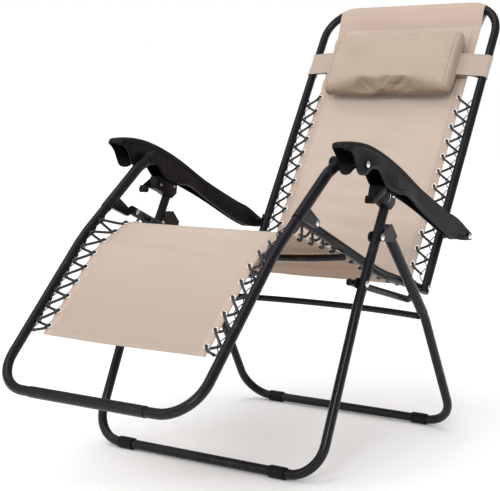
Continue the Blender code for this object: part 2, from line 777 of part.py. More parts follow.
def foot(paint, fabric, cord, pivot):
    start = link_joint - GAP * link_way
    path = rounded(
        mirrored([at(FRAME_X, start), at(FRAME_X, foot_bend), at(FRAME_X, foot_end)]),
        [0.25, CORNER, CORNER, 0.25],
    )
    tube("foot_frame", path, TUBE, paint, pivot)
    sleeve_half = 0.155
    name = "foot_bar_sleeve"
    ring(name, -sleeve_half, sleeve_half, TUBE + 0.0008, WIDE_TUBE, at(0, foot_end), paint, pivot)
    sheet, holes = cloth("foot_sling", FOOT_CLOTH, SLING_HALF, FOOT_EYELETS, fabric, pivot)
    drill(sheet, holes)
    frame_line = [link_joint + 0.05 * link_way, foot_bend, foot_end]
    for word, hand in SIDES:
        foot_link(word, hand, paint, pivot)
        knee_bracket(word, hand, paint, pivot)
        hooks(f"foot_hooks_{word}", hand, FOOT_CLOTH, FOOT_EYELETS, frame_line, WIDE_TUBE, paint, pivot)
        lacing(f"foot_lacing_{word}", hand, FOOT_CLOTH, FOOT_EYELETS, LACE_X, 0.0056, cord, pivot)


def foot_link(word, hand, paint, pivot):
    """The wide tube above the foot frame, with its top end bent on to the armrest's front pivot."""
    bend = link_joint + 0.150 * link_way
    end = arm_front + 0.014 * (arm_front - bend).normalized()
    x = hand * FRAME_X
    path = rounded([at(x, link_joint), at(x, bend), at(x, end)], [0.05])
    link = tube(f"foot_link_{word}", path, WIDE_TUBE, paint, pivot)
    drill(link, [across(x, arm_front, length=0.04)])


def knee_bracket(word, hand, paint, pivot):
    """A thick plate under the link that reaches down to the knee pivot."""
    under = -square_to(link_way)
    edge = (WIDE_TUBE + GAP) * under
    half = 0.005
    outline = [link_joint + 0.014 * link_way + edge, link_joint + 0.048 * link_way + edge]
    outline += boss(knee, 0.0105, 37.7 - 15, -150)
    x = hand * FRAME_X
    bracket = plate(f"knee_bracket_{word}", outline, x - half, x + half, paint, pivot)
    drill(bracket, [across(x, knee, length=0.03)])


# ---- the whole chair ----------------------------------------------------------------------------


def build():
    for obj in list(bpy.data.objects):
        bpy.data.objects.remove(obj)
    paint = material("black_paint", (0.020, 0.020, 0.023), 0.38)
    plastic = material("black_plastic", (0.022, 0.022, 0.024), 0.50)
    steel = material("bright_steel", (0.75, 0.76, 0.78), 0.25, 1.0)
    fabric = material("beige_mesh_cloth", (0.60, 0.49, 0.40), 0.80)
    cord = material("black_cord", (0.015, 0.015, 0.016), 0.85)
    front_leg(paint, plastic, steel)
    for word, hand in SIDES:
        lock_lever(word, hand, plastic)
    rear_leg(paint, plastic)
    seat_hinge = empty("seat_hinge", seat_pivot)
    back_hinge = empty("back_hinge", seat_rear)
    seat_frame(paint, fabric, cord, seat_hinge)
    corner_pins(steel, seat_hinge, back_hinge)
    back(paint, fabric, cord, back_hinge)
    pillow(fabric)
    armrests(plastic, steel, empty("armrest_hinge", arm_rear))
    foot(paint, fabric, cord, empty("foot_hinge", knee))


build()
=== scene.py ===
"""Looks of the zero gravity recliner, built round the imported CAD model.

Metres, +Z up, the sitter faces -Y and +X is the sitter's left. The hinges' places come from the record and
the tubes' places from the CAD nodes' boxes. A "side point" is a (y, z) pair in the chair's side plane.
"""

import json
import math

import bmesh
import bpy
from mathutils import Matrix, Vector
from mathutils.bvhtree import BVHTree
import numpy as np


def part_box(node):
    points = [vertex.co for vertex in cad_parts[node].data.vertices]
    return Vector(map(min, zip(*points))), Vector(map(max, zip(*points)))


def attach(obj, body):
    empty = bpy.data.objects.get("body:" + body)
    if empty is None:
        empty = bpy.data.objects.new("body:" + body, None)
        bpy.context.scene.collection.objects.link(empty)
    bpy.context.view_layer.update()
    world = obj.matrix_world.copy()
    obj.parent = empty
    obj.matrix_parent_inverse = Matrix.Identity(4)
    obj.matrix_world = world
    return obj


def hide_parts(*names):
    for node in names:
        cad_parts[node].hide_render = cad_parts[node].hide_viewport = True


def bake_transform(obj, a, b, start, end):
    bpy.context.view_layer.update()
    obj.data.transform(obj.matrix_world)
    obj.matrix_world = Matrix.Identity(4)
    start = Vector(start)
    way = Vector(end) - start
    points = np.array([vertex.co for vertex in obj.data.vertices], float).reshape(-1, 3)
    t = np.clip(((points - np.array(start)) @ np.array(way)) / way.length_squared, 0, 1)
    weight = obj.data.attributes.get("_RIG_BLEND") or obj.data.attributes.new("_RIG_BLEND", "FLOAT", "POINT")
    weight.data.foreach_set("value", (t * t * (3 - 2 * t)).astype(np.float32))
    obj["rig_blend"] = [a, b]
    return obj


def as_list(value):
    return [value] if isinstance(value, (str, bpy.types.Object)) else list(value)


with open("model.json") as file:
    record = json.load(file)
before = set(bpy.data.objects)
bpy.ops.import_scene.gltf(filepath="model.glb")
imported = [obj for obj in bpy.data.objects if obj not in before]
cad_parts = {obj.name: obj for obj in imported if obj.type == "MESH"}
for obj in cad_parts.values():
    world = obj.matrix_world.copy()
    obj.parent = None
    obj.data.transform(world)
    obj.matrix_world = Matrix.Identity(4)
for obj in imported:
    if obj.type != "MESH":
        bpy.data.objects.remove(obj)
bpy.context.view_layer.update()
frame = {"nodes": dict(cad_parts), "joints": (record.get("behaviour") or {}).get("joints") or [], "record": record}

# ---- places and sizes ----

HINGES = {j["name"]: Vector(j["pos_m"][1:]) for j in frame["joints"] if "pos_m" in j}
SLIDE = next(j for j in frame["joints"] if j["name"] == "pillow_height")
seat_rear = HINGES["recline"]
knee = HINGES["foot_recline"]
arm_rear = HINGES["armrest_turn"]
leg_pivot = HINGES["rear_leg_fold"]
seat_pivot = HINGES["tilt"]
lever_pivot = HINGES["lock_lever_left"]
arm_front = knee + arm_rear - seat_rear

TUBE = 0.011  # radius of the frame tubes
WIDE_TUBE = 0.0125  # radius of the foot frame's tubes
FRAME_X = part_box("foot_link_left")[1].x - WIDE_TUBE  # middle of the back's and the foot frame's tubes
LEG_X = (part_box("armrest_left")[0].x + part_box("armrest_left")[1].x) / 2
CORNER = 0.085  # bend radius at the ends of the back's top bar

back_way = Vector(SLIDE["axis"][1:]).normalized()  # up the back
back_front = Vector((-back_way[1], back_way[0]))  # out of its cloth, towards the sitter
BACK_LENGTH = (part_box("back_frame")[1].z - TUBE - seat_rear[1]) / back_way[1]
back_top = seat_rear + BACK_LENGTH * back_way

SLING_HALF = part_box("back_sling")[1].x
SEAT_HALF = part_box("seat_sling")[1].x
CLOTH = 0.0011  # thickness of one layer of the cloth
HEM = 0.024  # width of the doubled edges
EYELET_IN = 0.0083  # from the cloth's edge to the eyelets' middles
EYELET_HALF = 0.0042  # half the square that an eyelet's washer hides
CORD = 0.0031  # radius of the lacing cords
WIRE = 0.0012  # radius of the wires the cords turn at
LACE_X = FRAME_X - 0.0185  # where the cords turn beside the tubes
RAIL_X = (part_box("seat_rail_left")[0].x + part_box("seat_rail_left")[1].x) / 2

SIDES = (("left", 1), ("right", -1))


def at(x, point):
    """The place x across the chair at a side point."""
    return Vector((x, point[0], point[1]))


def square_to(way):
    """The direction turned a quarter turn to the left in the side plane."""
    return Vector((-way[1], way[0]))


def heading(degrees):
    """The side direction at an angle above straight back."""
    angle = math.radians(degrees)
    return Vector((math.cos(angle), math.sin(angle)))


def spread(start, end, count):
    """Count + 1 evenly spaced values from start to end."""
    return [start + (end - start) * i / count for i in range(count + 1)]


def ease(value, start, end):
    """0 before start, 1 after end, smooth between."""
    t = min(max((value - start) / (end - start), 0.0), 1.0)
    return t * t * (3 - 2 * t)


# ---- camera, floor and light ----


CAMERA_AT = (1.7523, -2.5697, 0.7812)
CAMERA_TURNS = ((35.44, "Z"), (84.249, "X"), (0.281, "Z"))  # pan, tilt and roll in degrees


def linked(name, data):
    """A new object of the scene."""
    made = bpy.data.objects.new(name, data)
    bpy.context.scene.collection.objects.link(made)
    return made


def camera():
    data = bpy.data.cameras.new("camera")
    data.lens = 93.63
    data.sensor_width = 36.0
    data.clip_end = 50.0
    made = linked("camera", data)
    made.matrix_world = Matrix.Translation(CAMERA_AT)
    for degrees, axis in CAMERA_TURNS:
        made.matrix_world = made.matrix_world @ Matrix.Rotation(math.radians(degrees), 4, axis)
    bpy.context.scene.camera = made


def sun_light(name, source, spread, strength):
    """A wide, far soft box that shines from the source's side."""
    data = bpy.data.lights.new(name, "SUN")
    data.angle = math.radians(spread)
    data.energy = strength
    made = linked(name, data)
    made.matrix_world = Vector(source).to_track_quat("Z", "Y").to_matrix().to_4x4()


def white_room(strength, mirrored):
    """A world that looks white, lights the chair at one strength and shows in its gloss at another."""
    world = bpy.data.worlds.new("studio")
    world.use_nodes = True
    tree = world.node_tree
    light_path = tree.nodes.new("ShaderNodeLightPath")

    def white(value):
        background = tree.nodes.new("ShaderNodeBackground")
        background.inputs["Color"].default_value = (1.0, 1.0, 1.0, 1.0)
        background.inputs["Strength"].default_value = value
        return background.outputs["Background"]

    result = white(strength)
    for ray, value in (("Is Glossy Ray", mirrored), ("Is Camera Ray", 1.0)):
        mix = tree.nodes.new("ShaderNodeMixShader")
        tree.links.new(light_path.outputs[ray], mix.inputs["Fac"])
        tree.links.new(result, mix.inputs[1])
        tree.links.new(white(value), mix.inputs[2])
        result = mix.outputs["Shader"]
    tree.links.new(result, tree.nodes["World Output"].inputs["Surface"])
    return world


def studio():
    scene = bpy.context.scene
    scene.view_settings.view_transform = "Standard"
    scene.view_settings.look = "None"
    scene.world = white_room(0.92, 0.35)
    sun_light("overhead", (-0.25, -0.30, 1.0), 50, 0.80)
    sun_light("left", (-1.0, -1.4, 0.75), 30, 0.30)
    sun_light("front", (1.1, -2.6, 1.5), 16, 0.90)
    floor_mesh = bpy.data.meshes.new("floor")
    bm = bmesh.new()
    bmesh.ops.create_grid(bm, x_segments=1, y_segments=1, size=20.0)
    bm.to_mesh(floor_mesh)
    bm.free()
    floor = linked("floor", floor_mesh)
    floor.data.materials.append(paper())


# ---- materials ----


class Surface:
    """A Principled material and short ways to add procedural detail to it."""

    def __init__(self, name, colour, roughness, metallic=0.0, **sockets):
        self.material = bpy.data.materials.new(name)
        self.material.use_nodes = True
        self.tree = self.material.node_tree
        self.shader = self.tree.nodes["Principled BSDF"]
        self.colour = (*colour, 1.0)
        self.shader.inputs["Base Color"].default_value = self.colour
        self.shader.inputs["Roughness"].default_value = roughness
        self.shader.inputs["Metallic"].default_value = metallic
        for socket, value in sockets.items():
            self.shader.inputs[socket.replace("_", " ")].default_value = value
        self.material.diffuse_color = self.colour
        self.height = None

    def node(self, kind, settings=(), **values):
        made = self.tree.nodes.new(kind)
        for key, value in dict(settings).items():
            setattr(made, key, value)
        for key, value in values.items():
            made.inputs[key.replace("_", " ")].default_value = value
        return made

    def link(self, output, socket):
        self.tree.links.new(output, socket)

    def coordinates(self, source="Object", scale=(1.0, 1.0, 1.0)):
        mapping = self.node("ShaderNodeMapping")
        mapping.inputs["Scale"].default_value = scale
        self.link(self.node("ShaderNodeTexCoord").outputs[source], mapping.inputs["Vector"])
        return mapping.outputs["Vector"]

    def noise(self, scale, detail=3.0, stretch=(1.0, 1.0, 1.0), source="Object"):
        made = self.node("ShaderNodeTexNoise", Scale=scale, Detail=detail)
        self.link(self.coordinates(source, stretch), made.inputs["Vector"])
        return made.outputs["Fac"]

    def ranged(self, value, low, high, start=0.3, end=0.7):
        made = self.node("ShaderNodeMapRange", From_Min=start, From_Max=end, To_Min=low, To_Max=high)
        self.link(value, made.inputs["Value"])
        return made.outputs["Result"]

    def vary_roughness(self, value, low, high):
        self.link(self.ranged(value, low, high), self.shader.inputs["Roughness"])

    def vary_colour(self, value, other, start=0.35, end=0.65):
        """Mixes towards another colour as the value goes from start to end, on top of earlier mixes."""
        mix = self.node("ShaderNodeMix", {"data_type": "RGBA"})
        base = self.shader.inputs["Base Color"]
        mix.inputs["A"].default_value = self.colour
        if base.is_linked:
            self.link(base.links[0].from_socket, mix.inputs["A"])
        mix.inputs["B"].default_value = (*other, 1.0)
        self.link(self.ranged(value, 0.0, 1.0, start, end), mix.inputs["Factor"])
        self.link(mix.outputs["Result"], base)

    def bump(self, value, depth, strength=1.0):
        """Adds a height in metres on top of earlier bumps."""
        made = self.node("ShaderNodeBump", Strength=strength, Distance=depth)
        self.link(value, made.inputs["Height"])
        if self.height:
            self.link(self.height, made.inputs["Normal"])
        self.height = made.outputs["Normal"]
        self.link(self.height, self.shader.inputs["Normal"])

    def wave(self, source, axis, pitch):
        """Threads: a sine along one axis of the coordinates, one crest every pitch metres."""
        made = self.node("ShaderNodeTexWave", {"bands_direction": axis, "wave_profile": "SIN"})
        made.inputs["Scale"].default_value = math.pi / 10 / pitch  # the node's bands are 2 pi / 20 wide at 1
        self.link(self.coordinates(source), made.inputs["Vector"])
        return made.outputs["Fac"]

    def one_axis(self, vector, axis):
        split = self.node("ShaderNodeSeparateXYZ")
        self.link(vector, split.inputs["Vector"])
        return split.outputs[axis]

    def product(self, one, two, operation="MULTIPLY"):
        made = self.node("ShaderNodeMath", {"operation": operation})
        self.link(one, made.inputs[0])
        self.link(two, made.inputs[1])
        return made.outputs["Value"]


def paper():
    made = Surface("studio_paper", (0.96, 0.96, 0.96), 0.9)
    made.vary_colour(made.noise(0.4), (0.94, 0.94, 0.945))
    return made.material


def black_paint():
    """Satin powder coat: a fine orange peel, uneven gloss and a few rubbed places."""
    made = Surface("black_paint", (0.007, 0.007, 0.009), 0.26, Specular_IOR_Level=0.24)
    made.vary_roughness(made.noise(35.0), 0.22, 0.33)
    made.vary_colour(made.noise(18.0, 6.0, (1.0, 1.0, 3.0)), (0.028, 0.028, 0.031), 0.62, 0.80)
    made.bump(made.noise(900.0, 2.0), 0.00012, 0.5)
    made.bump(made.noise(140.0, 2.0), 0.0002, 0.3)
    return made.material


def black_plastic():
    """Moulded nylon: spark-eroded grain and slightly paler patches."""
    made = Surface("black_plastic", (0.006, 0.006, 0.007), 0.36, Specular_IOR_Level=0.13)
    made.vary_roughness(made.noise(60.0), 0.30, 0.44)
    made.vary_colour(made.noise(25.0, 4.0), (0.011, 0.011, 0.012), 0.45, 0.75)
    made.bump(made.noise(1300.0, 2.0), 0.00015, 0.6)
    return made.material


def bright_steel():
    """Zinc plated rivets, with fine scratches."""
    made = Surface("bright_steel", (0.78, 0.79, 0.80), 0.24, metallic=1.0)
    made.vary_roughness(made.noise(300.0, 3.0, (1.0, 6.0, 1.0)), 0.18, 0.36)
    made.vary_colour(made.noise(120.0), (0.60, 0.60, 0.61), 0.5, 0.8)
    made.bump(made.noise(700.0, 2.0, (1.0, 8.0, 1.0)), 0.00008, 0.4)
    return made.material


def mesh_cloth(name, colour, shade, shaded_foot_end=False):
    """Coated open weave: crossing threads, slubs along both directions and slow changes of tone."""
    made = Surface(name, colour, 0.72, Sheen_Weight=0.12)
    source = "UV"
    pitch = 0.0017  # from thread to thread
    weave = made.product(made.wave(source, "X", pitch), made.wave(source, "Y", pitch))
    made.vary_colour(made.noise(7.0, 3.0, source=source), shade, 0.40, 0.75)
    made.vary_colour(made.noise(260.0, 2.0, (1.0, 0.03, 1.0), source), shade, 0.50, 0.95)
    made.vary_colour(made.noise(260.0, 2.0, (0.03, 1.0, 1.0), source), shade, 0.50, 0.95)
    made.vary_colour(weave, tuple(0.72 * c for c in shade), 0.55, 1.25)
    if shaded_foot_end:  # painted shade: the cloth is darker towards the foot end, where it begins
        along = made.one_axis(made.coordinates(source), "Y")
        made.vary_colour(along, tuple(0.84 * c for c in shade), 0.40, 0.08)
    made.bump(weave, 0.0003, 0.5)
    made.bump(made.noise(60.0, 3.0, source=source), 0.0008, 0.25)
    return made.material


def pillow_cloth():
    """Close woven polyester over filling: fine threads and soft creases."""
    made = Surface("pillow_cloth", (0.405, 0.318, 0.250), 0.78, Sheen_Weight=0.2)
    weave = made.product(made.wave("Object", "X", 0.0011), made.wave("Object", "Z", 0.0011))
    made.vary_colour(made.noise(9.0, 3.0), (0.365, 0.282, 0.215), 0.40, 0.75)
    made.vary_colour(weave, (0.30, 0.23, 0.18), 0.5, 1.3)
    facing_up = made.one_axis(made.node("ShaderNodeNewGeometry").outputs["Normal"], "Z")
    made.vary_colour(facing_up, (0.190, 0.125, 0.074), 0.32, -0.65)  # painted shade: darker where the case faces down
    made.bump(weave, 0.0003, 0.4)
    made.bump(made.noise(26.0, 4.0, (1.0, 1.0, 2.0)), 0.0035, 0.35)
    return made.material


def thread():
    made = Surface("thread", (0.36, 0.28, 0.23), 0.7)
    made.vary_colour(made.noise(400.0), (0.28, 0.22, 0.18))
    made.bump(made.wave("Object", "DIAGONAL", 0.0008), 0.0002, 0.6)
    return made.material


def eyelet_metal():
    made = Surface("eyelet_metal", (0.88, 0.88, 0.87), 0.28, metallic=0.6)
    made.vary_roughness(made.noise(500.0), 0.2, 0.4)
    made.vary_colour(made.noise(150.0), (0.72, 0.71, 0.70), 0.5, 0.8)
    return made.material


def black_cord():
    """Braided elastic: strands crossing along the cord's own length."""
    made = Surface("black_cord", (0.013, 0.013, 0.014), 0.8, Sheen_Weight=0.1)
    strands = made.product(made.wave("UV", "DIAGONAL", 0.0014), made.wave("UV", "X", 0.0016), "ADD")
    made.vary_colour(strands, (0.035, 0.035, 0.037), 0.6, 1.8)
    made.bump(strands, 0.0003, 0.7)
    return made.material


PAINT = black_paint()
PLASTIC = black_plastic()
STEEL = bright_steel()
# The sling's cloth has painted shade towards its foot end.
SLING = mesh_cloth("sling_cloth", (0.500, 0.408, 0.340), (0.462, 0.372, 0.306), shaded_foot_end=True)
# The seat hangs in its own shade, and what light reaches its underside comes through the cloth.
UNDERSIDE = mesh_cloth("sling_underside", (0.320, 0.202, 0.124), (0.285, 0.178, 0.106))
HEM_CLOTH = mesh_cloth("hem_cloth", (0.468, 0.364, 0.298), (0.428, 0.328, 0.268))
PILLOW = pillow_cloth()
THREAD = thread()
EYELET_METAL = eyelet_metal()
LACE = black_cord()
SLOT_SURFACES = {
    "black_paint": PAINT,
    "black_plastic": PLASTIC,
    "bright_steel": STEEL,
    "beige_mesh_cloth": SLING,
    "black_cord": LACE,
}
SLOT_OF = {surface.name: slot for slot, surface in SLOT_SURFACES.items()}
SLOT_OF[EYELET_METAL.name] = "bright_steel"
for cloth_like in (UNDERSIDE, HEM_CLOTH, PILLOW, THREAD):
    SLOT_OF[cloth_like.name] = "beige_mesh_cloth"

# ---- mesh tools ----


def smooth_faces(mesh):
    mesh.polygons.foreach_set("use_smooth", [True] * len(mesh.polygons))


def finish_mesh(name, bm, surface, body=None):
    """The bmesh as a smooth linked piece with its surface and, if given, its body."""
    bmesh.ops.recalc_face_normals(bm, faces=bm.faces)
    mesh = bpy.data.meshes.new(name)
    bm.to_mesh(mesh)
    bm.free()
    smooth_faces(mesh)
    mesh.materials.append(surface)
    made = linked(name, mesh)
    if body:
        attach(made, body)
    return made


def apply_modifiers(obj):
    graph = bpy.context.evaluated_depsgraph_get()
    mesh = bpy.data.meshes.new_from_object(obj.evaluated_get(graph))
    obj.modifiers.clear()
    obj.data = mesh


def softened(obj, width, segments=3):
    """Rounds a plate's edges and keeps its flats flat."""
    step = obj.modifiers.new("Bevel", "BEVEL")
    step.width = width
    step.segments = segments
    step.limit_method = "ANGLE"
    step.angle_limit = math.radians(35)
    apply_modifiers(obj)
    split_at(obj, 50)
    return obj


def split_at(obj, degrees):
    """Smooth shading with creases where faces meet at more than this angle."""
    bm = bmesh.new()
    bm.from_mesh(obj.data)
    for edge in bm.edges:
        edge.smooth = len(edge.link_faces) == 2 and edge.calc_face_angle() < math.radians(degrees)
    for face in bm.faces:
        face.smooth = True
    bm.to_mesh(obj.data)
    bm.free()


def skin(bm, rings, closed=False):
    """Joins rings of vertices one to the next, and closes both ends or joins the last to the first."""
    for one, two in zip(rings, rings[1:] + (rings[:1] if closed else [])):
        for i in range(len(one)):
            j = (i + 1) % len(one)
            bm.faces.new((one[i], one[j], two[j], two[i]))
    if not closed:
        bm.faces.new(rings[0])
        bm.faces.new(rings[-1])


def plate(bm, outline, x0, x1):
    """A side drawing's outline given a thickness from x0 to x1."""
    skin(bm, [[bm.verts.new(at(x, p)) for p in outline] for x in (x0, x1)])


def boss(centre, radius, start, sweep, steps=12):
    """An arc of side points."""
    return [centre + radius * heading(start + sweep * i / steps) for i in range(steps + 1)]


def lathe(bm, profile, centre, way, sides=24, closed=False):
    """A profile of (distance along the axis, radius) turned about the axis through the centre."""
    turn = Vector(way).to_track_quat("Z", "Y").to_matrix()
    rings = []
    for along, radius in profile:
        ring = []
        for i in range(sides):
            angle = 2 * math.pi * i / sides
            spot = Vector((radius * math.cos(angle), radius * math.sin(angle), along))
            ring.append(bm.verts.new(centre + turn @ spot))
        rings.append(ring)
    skin(bm, rings, closed)


def curved(points, per_span=6):
    """A smooth path through the points."""
    path = []
    padded = [points[0]] + list(points) + [points[-1]]
    for p0, p1, p2, p3 in zip(padded, padded[1:], padded[2:], padded[3:]):
        for i in range(per_span):
            t = i / per_span
            a = 2 * p1 + (p2 - p0) * t
            b = (2 * p0 - 5 * p1 + 4 * p2 - p3) * t * t
            c = (3 * p1 - p0 - 3 * p2 + p3) * t * t * t
            path.append((a + b + c) / 2)
    path.append(points[-1].copy())
    return path


def tube(bm, path, radius, sides=8):
    """A round tube along a path, with its length and girth as UVs in metres."""
    layer = bm.loops.layers.uv.verify()
    normal = None
    rings = []
    along = 0.0
    lengths = []
    for i, spot in enumerate(path):
        way = (path[min(i + 1, len(path) - 1)] - path[max(i - 1, 0)]).normalized()
        if normal is None:
            normal = way.orthogonal().normalized()
        normal = (normal - way * normal.dot(way)).normalized()
        other = way.cross(normal)
        ring = []
        for k in range(sides):
            angle = 2 * math.pi * k / sides
            ring.append(bm.verts.new(spot + radius * (math.cos(angle) * normal + math.sin(angle) * other)))
        rings.append(ring)
        along += (spot - path[i - 1]).length if i else 0.0
        lengths.append(along)
    girth = 2 * math.pi * radius
    for (one, two), (low, high) in zip(zip(rings, rings[1:]), zip(lengths, lengths[1:])):
        for k in range(sides):
            n = (k + 1) % sides
            face = bm.faces.new((one[k], one[n], two[n], two[k]))
            corners = ((low, k), (low, k + 1), (high, k + 1), (high, k))
            for loop, (u, v) in zip(face.loops, corners):
                loop[layer].uv = (u, v * girth / sides)
    bm.faces.new(rings[0])
    bm.faces.new(rings[-1])


def rounded(points, radii, step=math.radians(6)):
    """Side points with each inner one replaced by an arc of its radius."""
    path = [points[0]]
    for before, corner, after, radius in zip(points, points[1:], points[2:], radii):
        arrive = (corner - before).normalized()
        leave = (after - corner).normalized()
        turn = arrive.angle(leave)
        hand = 1 if arrive.cross(leave) > 0 else -1
        start = corner - arrive * radius * math.tan(turn / 2)
        centre = start + hand * radius * square_to(arrive)
        steps = max(2, math.ceil(turn / step))
        for i in range(steps + 1):
            spoke = Matrix.Rotation(hand * turn * i / steps, 2) @ (start - centre)
            path.append(centre + spoke)
    path.append(points[-1])
    return path


class Line:
    """A path of side points that can be asked for the place at a distance along it."""

    def __init__(self, points):
        self.points = points
        self.marks = [0.0]
        for one, two in zip(points, points[1:]):
            self.marks.append(self.marks[-1] + (two - one).length)
        self.length = self.marks[-1]

    def point(self, distance):
        distance = min(max(distance, 0.0), self.length)
        for i, mark in enumerate(self.marks[1:]):
            if distance <= mark + 1e-9:
                share = (distance - self.marks[i]) / (mark - self.marks[i])
                return self.points[i].lerp(self.points[i + 1], share)
        return self.points[-1]

    def way(self, distance, reach=0.004):
        return (self.point(distance + reach) - self.point(distance - reach)).normalized()

    def nearest(self, target, step=0.001):
        count = int(self.length / step)
        return min((i * step for i in range(count + 1)), key=lambda d: (self.point(d) - target).length)


# ---- the carried-over CAD nodes ----


def dress_nodes():
    """Each CAD node gets its slot's surface, welded points and smooth faces with crisp edges."""
    slots = {row["node"]: row["material_slot"] for row in frame["record"]["subparts"]}
    for name, node in frame["nodes"].items():
        mesh = node.data
        mesh.materials.clear()
        mesh.materials.append(SLOT_SURFACES[slots[name]])
        for attribute in [a for a in mesh.attributes if a.name == "custom_normal"]:
            mesh.attributes.remove(attribute)
        smooth_faces(mesh)
        weld = node.modifiers.new("Weld", "WELD")
        weld.merge_threshold = 1e-5
        split = node.modifiers.new("Split", "EDGE_SPLIT")
        split.split_angle = math.radians(40)
    for word, _ in SIDES:
        for joint in ("leg_pivot", "seat_pivot", "back_pivot", "knee_pivot", "armrest_rear", "armrest_front"):
            dress_pin(f"{joint}_pin_{word}")


def dress_pin(name):
    """A rivet's heads are bright, and its spacer between two pieces is black."""
    low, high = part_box(name)
    head = 0.0035  # height of a head and its shoulder
    mesh = frame["nodes"][name].data
    mesh.materials.append(PAINT)
    for face in mesh.polygons:
        inside = low.x + head < face.center.x < high.x - head
        face.material_index = 1 if inside else 0


# ---- the sling ----

DRAWN_KNEE = -0.2004  # the knee hinge's y in the side drawing, which is not centred on the chair's length


def side(y, z):
    """A point of the side drawing as a side point of the frame."""
    return Vector((y - DRAWN_KNEE + knee[0], z))


POCKET = 0.062  # how far below the top bar the cloth's fold is stitched down
BAR_WRAP = TUBE + 0.0004 + CLOTH / 2  # radius of the cloth round the top bar


def sling_line():
    """The cloth's middle from the foot hem over the knee and seat up the back, and where its parts meet."""
    crease = 0.034  # radius where the seat turns up into the back
    hem = side(-0.5280, 0.3080)
    corners = [
        hem,
        side(-0.3520, 0.4860),
        side(-0.2490, 0.5345),
        side(-0.1000, 0.4945),
        side(0.0000, 0.4640),
        side(0.1200, 0.4110),
        seat_rear,
        back_top - POCKET * back_way,
    ]
    line = Line(rounded(corners, [0.12, 0.05, 0.3, 0.3, 0.3, crease]))
    at_knee = line.nearest(side(-0.2515, 0.5335))
    at_crease = line.nearest(seat_rear) - 0.026
    return line, at_knee, at_crease


def pocket_line():
    """From the stitched line up the front of the top bar, round it and down behind to the same line."""
    def spot(up, out):
        return back_top + up * back_way + out * back_front

    front = curved([spot(-POCKET, 0.0), spot(-0.035, 0.0070), spot(-0.006, 0.95 * BAR_WRAP)], 8)
    over = [spot(*(BAR_WRAP * heading(degrees))) for degrees in range(75, -106, -15)]
    behind = curved([spot(-0.010, -0.90 * BAR_WRAP), spot(-0.035, -0.0060), spot(-POCKET, -0.0016)], 8)
    return Line(front + over[1:] + behind)


SLING_LINE, AT_KNEE, AT_CREASE = sling_line()
POCKET_LINE = pocket_line()


def bar_drop(x):
    """How far the top bar's bent ends lie below its straight middle."""
    over = max(abs(x) - (FRAME_X - CORNER), 0.0)
    return CORNER - math.sqrt(CORNER**2 - over**2)


def eyelet_marks(first, step, count, start):
    """Distances along the sling of the eyelets of one part."""
    return [start + first + step * i for i in range(count)]


PAST_CREASE = 0.055  # a place up the back where the cloth is straight again
# Marks up the back are counted as if its cloth began at its hinge.
BACK_MARK = SLING_LINE.nearest(seat_rear + PAST_CREASE * back_way) - PAST_CREASE
BACK_EYELETS = eyelet_marks(0.0605, 0.0436, 12, BACK_MARK)
SEAT_EYELETS = eyelet_marks(0.0250, 0.0460, 12, AT_KNEE)
FOOT_EYELETS = [AT_KNEE - mark for mark in eyelet_marks(0.0080, 0.0413, 9, 0.0)]


class Part:
    """One part of the sling: its stretch of the line, half width, sag and eyelets."""

    def __init__(self, name, start, end, half, sag, eyelets, reach, soft_start, soft_end):
        self.name = name
        self.start, self.end = start, end
        self.half = half
        self.sag = sag
        self.eyelets = eyelets
        self.reach = reach  # how far towards the next eyelet a cord turns at the frame
        self.step = abs(eyelets[1] - eyelets[0])
        self.soft_start, self.soft_end = soft_start, soft_end

    def up(self, mark):
        return at(0, square_to(SLING_LINE.way(mark)))

    def place(self, x, mark):
        """A point of the middle of the cloth, which sags between its edges and puckers at the eyelets."""
        share = x / self.half
        hold = ease(mark, self.start, self.start + self.soft_start) if self.soft_start else 1.0
        if self.soft_end:
            hold *= 1.0 - ease(mark, self.end - self.soft_end, self.end)
        phase = 2 * math.pi * (mark - self.eyelets[0]) / self.step
        near_edge = max(0.0, (abs(share) - 0.72) / 0.28)
        pull = 0.0017 * near_edge**2 * (1 - math.cos(phase)) / 2
        lift = -self.sag * hold * (1 - share**2) + 0.0011 * near_edge * math.cos(phase)
        folds = math.sin(2 * math.pi * mark / 0.058 + 1.7 * math.sin(6.0 * x))
        folds += 0.5 * math.sin(47.0 * mark - 9.0 * x)
        ripple = 0.0014 * folds * hold * (1 - share**2)
        inward = x - math.copysign(pull, x)
        return at(inward, SLING_LINE.point(mark)) + (lift + ripple) * self.up(mark)

    def eyelet(self, hand, mark):
        return self.place(hand * (self.half - EYELET_IN), mark)


FOOT = Part("foot", 0.0, AT_KNEE, SLING_HALF, 0.005, FOOT_EYELETS, 0.86, 0.0, 0.06)
SEAT = Part("seat", AT_KNEE, AT_CREASE, SEAT_HALF, 0.007, SEAT_EYELETS, 0.5, 0.06, 0.05)
BACK = Part("back", AT_CREASE, SLING_LINE.length, SLING_HALF, 0.005, BACK_EYELETS, 0.64, 0.06, 0.05)


def columns(half):
    """Places across the cloth, closer at the hems and beside the eyelets."""
    eyelet = half - EYELET_IN
    inner = half - HEM - 0.001
    outer = [half, half - 0.002, eyelet + EYELET_HALF, eyelet - EYELET_HALF, half - HEM, inner]
    count = 16
    middle = [inner * (1 - 2 * i / count) for i in range(1, count)]
    return outer + middle + [-x for x in reversed(outer)]


def rows(part):
    """Marks along the cloth: a steady step, with a pair of rows round each eyelet."""
    edges = [m + s * EYELET_HALF for m in part.eyelets for s in (-1, 1)]
    edges = [m for m in edges if part.start + 0.001 < m < part.end - 0.001]
    steady = spread(part.start, part.end, math.ceil((part.end - part.start) / 0.009))
    kept = [m for m in steady if all(abs(m - e) > 0.002 for e in edges) or m in (steady[0], steady[-1])]
    return sorted(kept + edges)


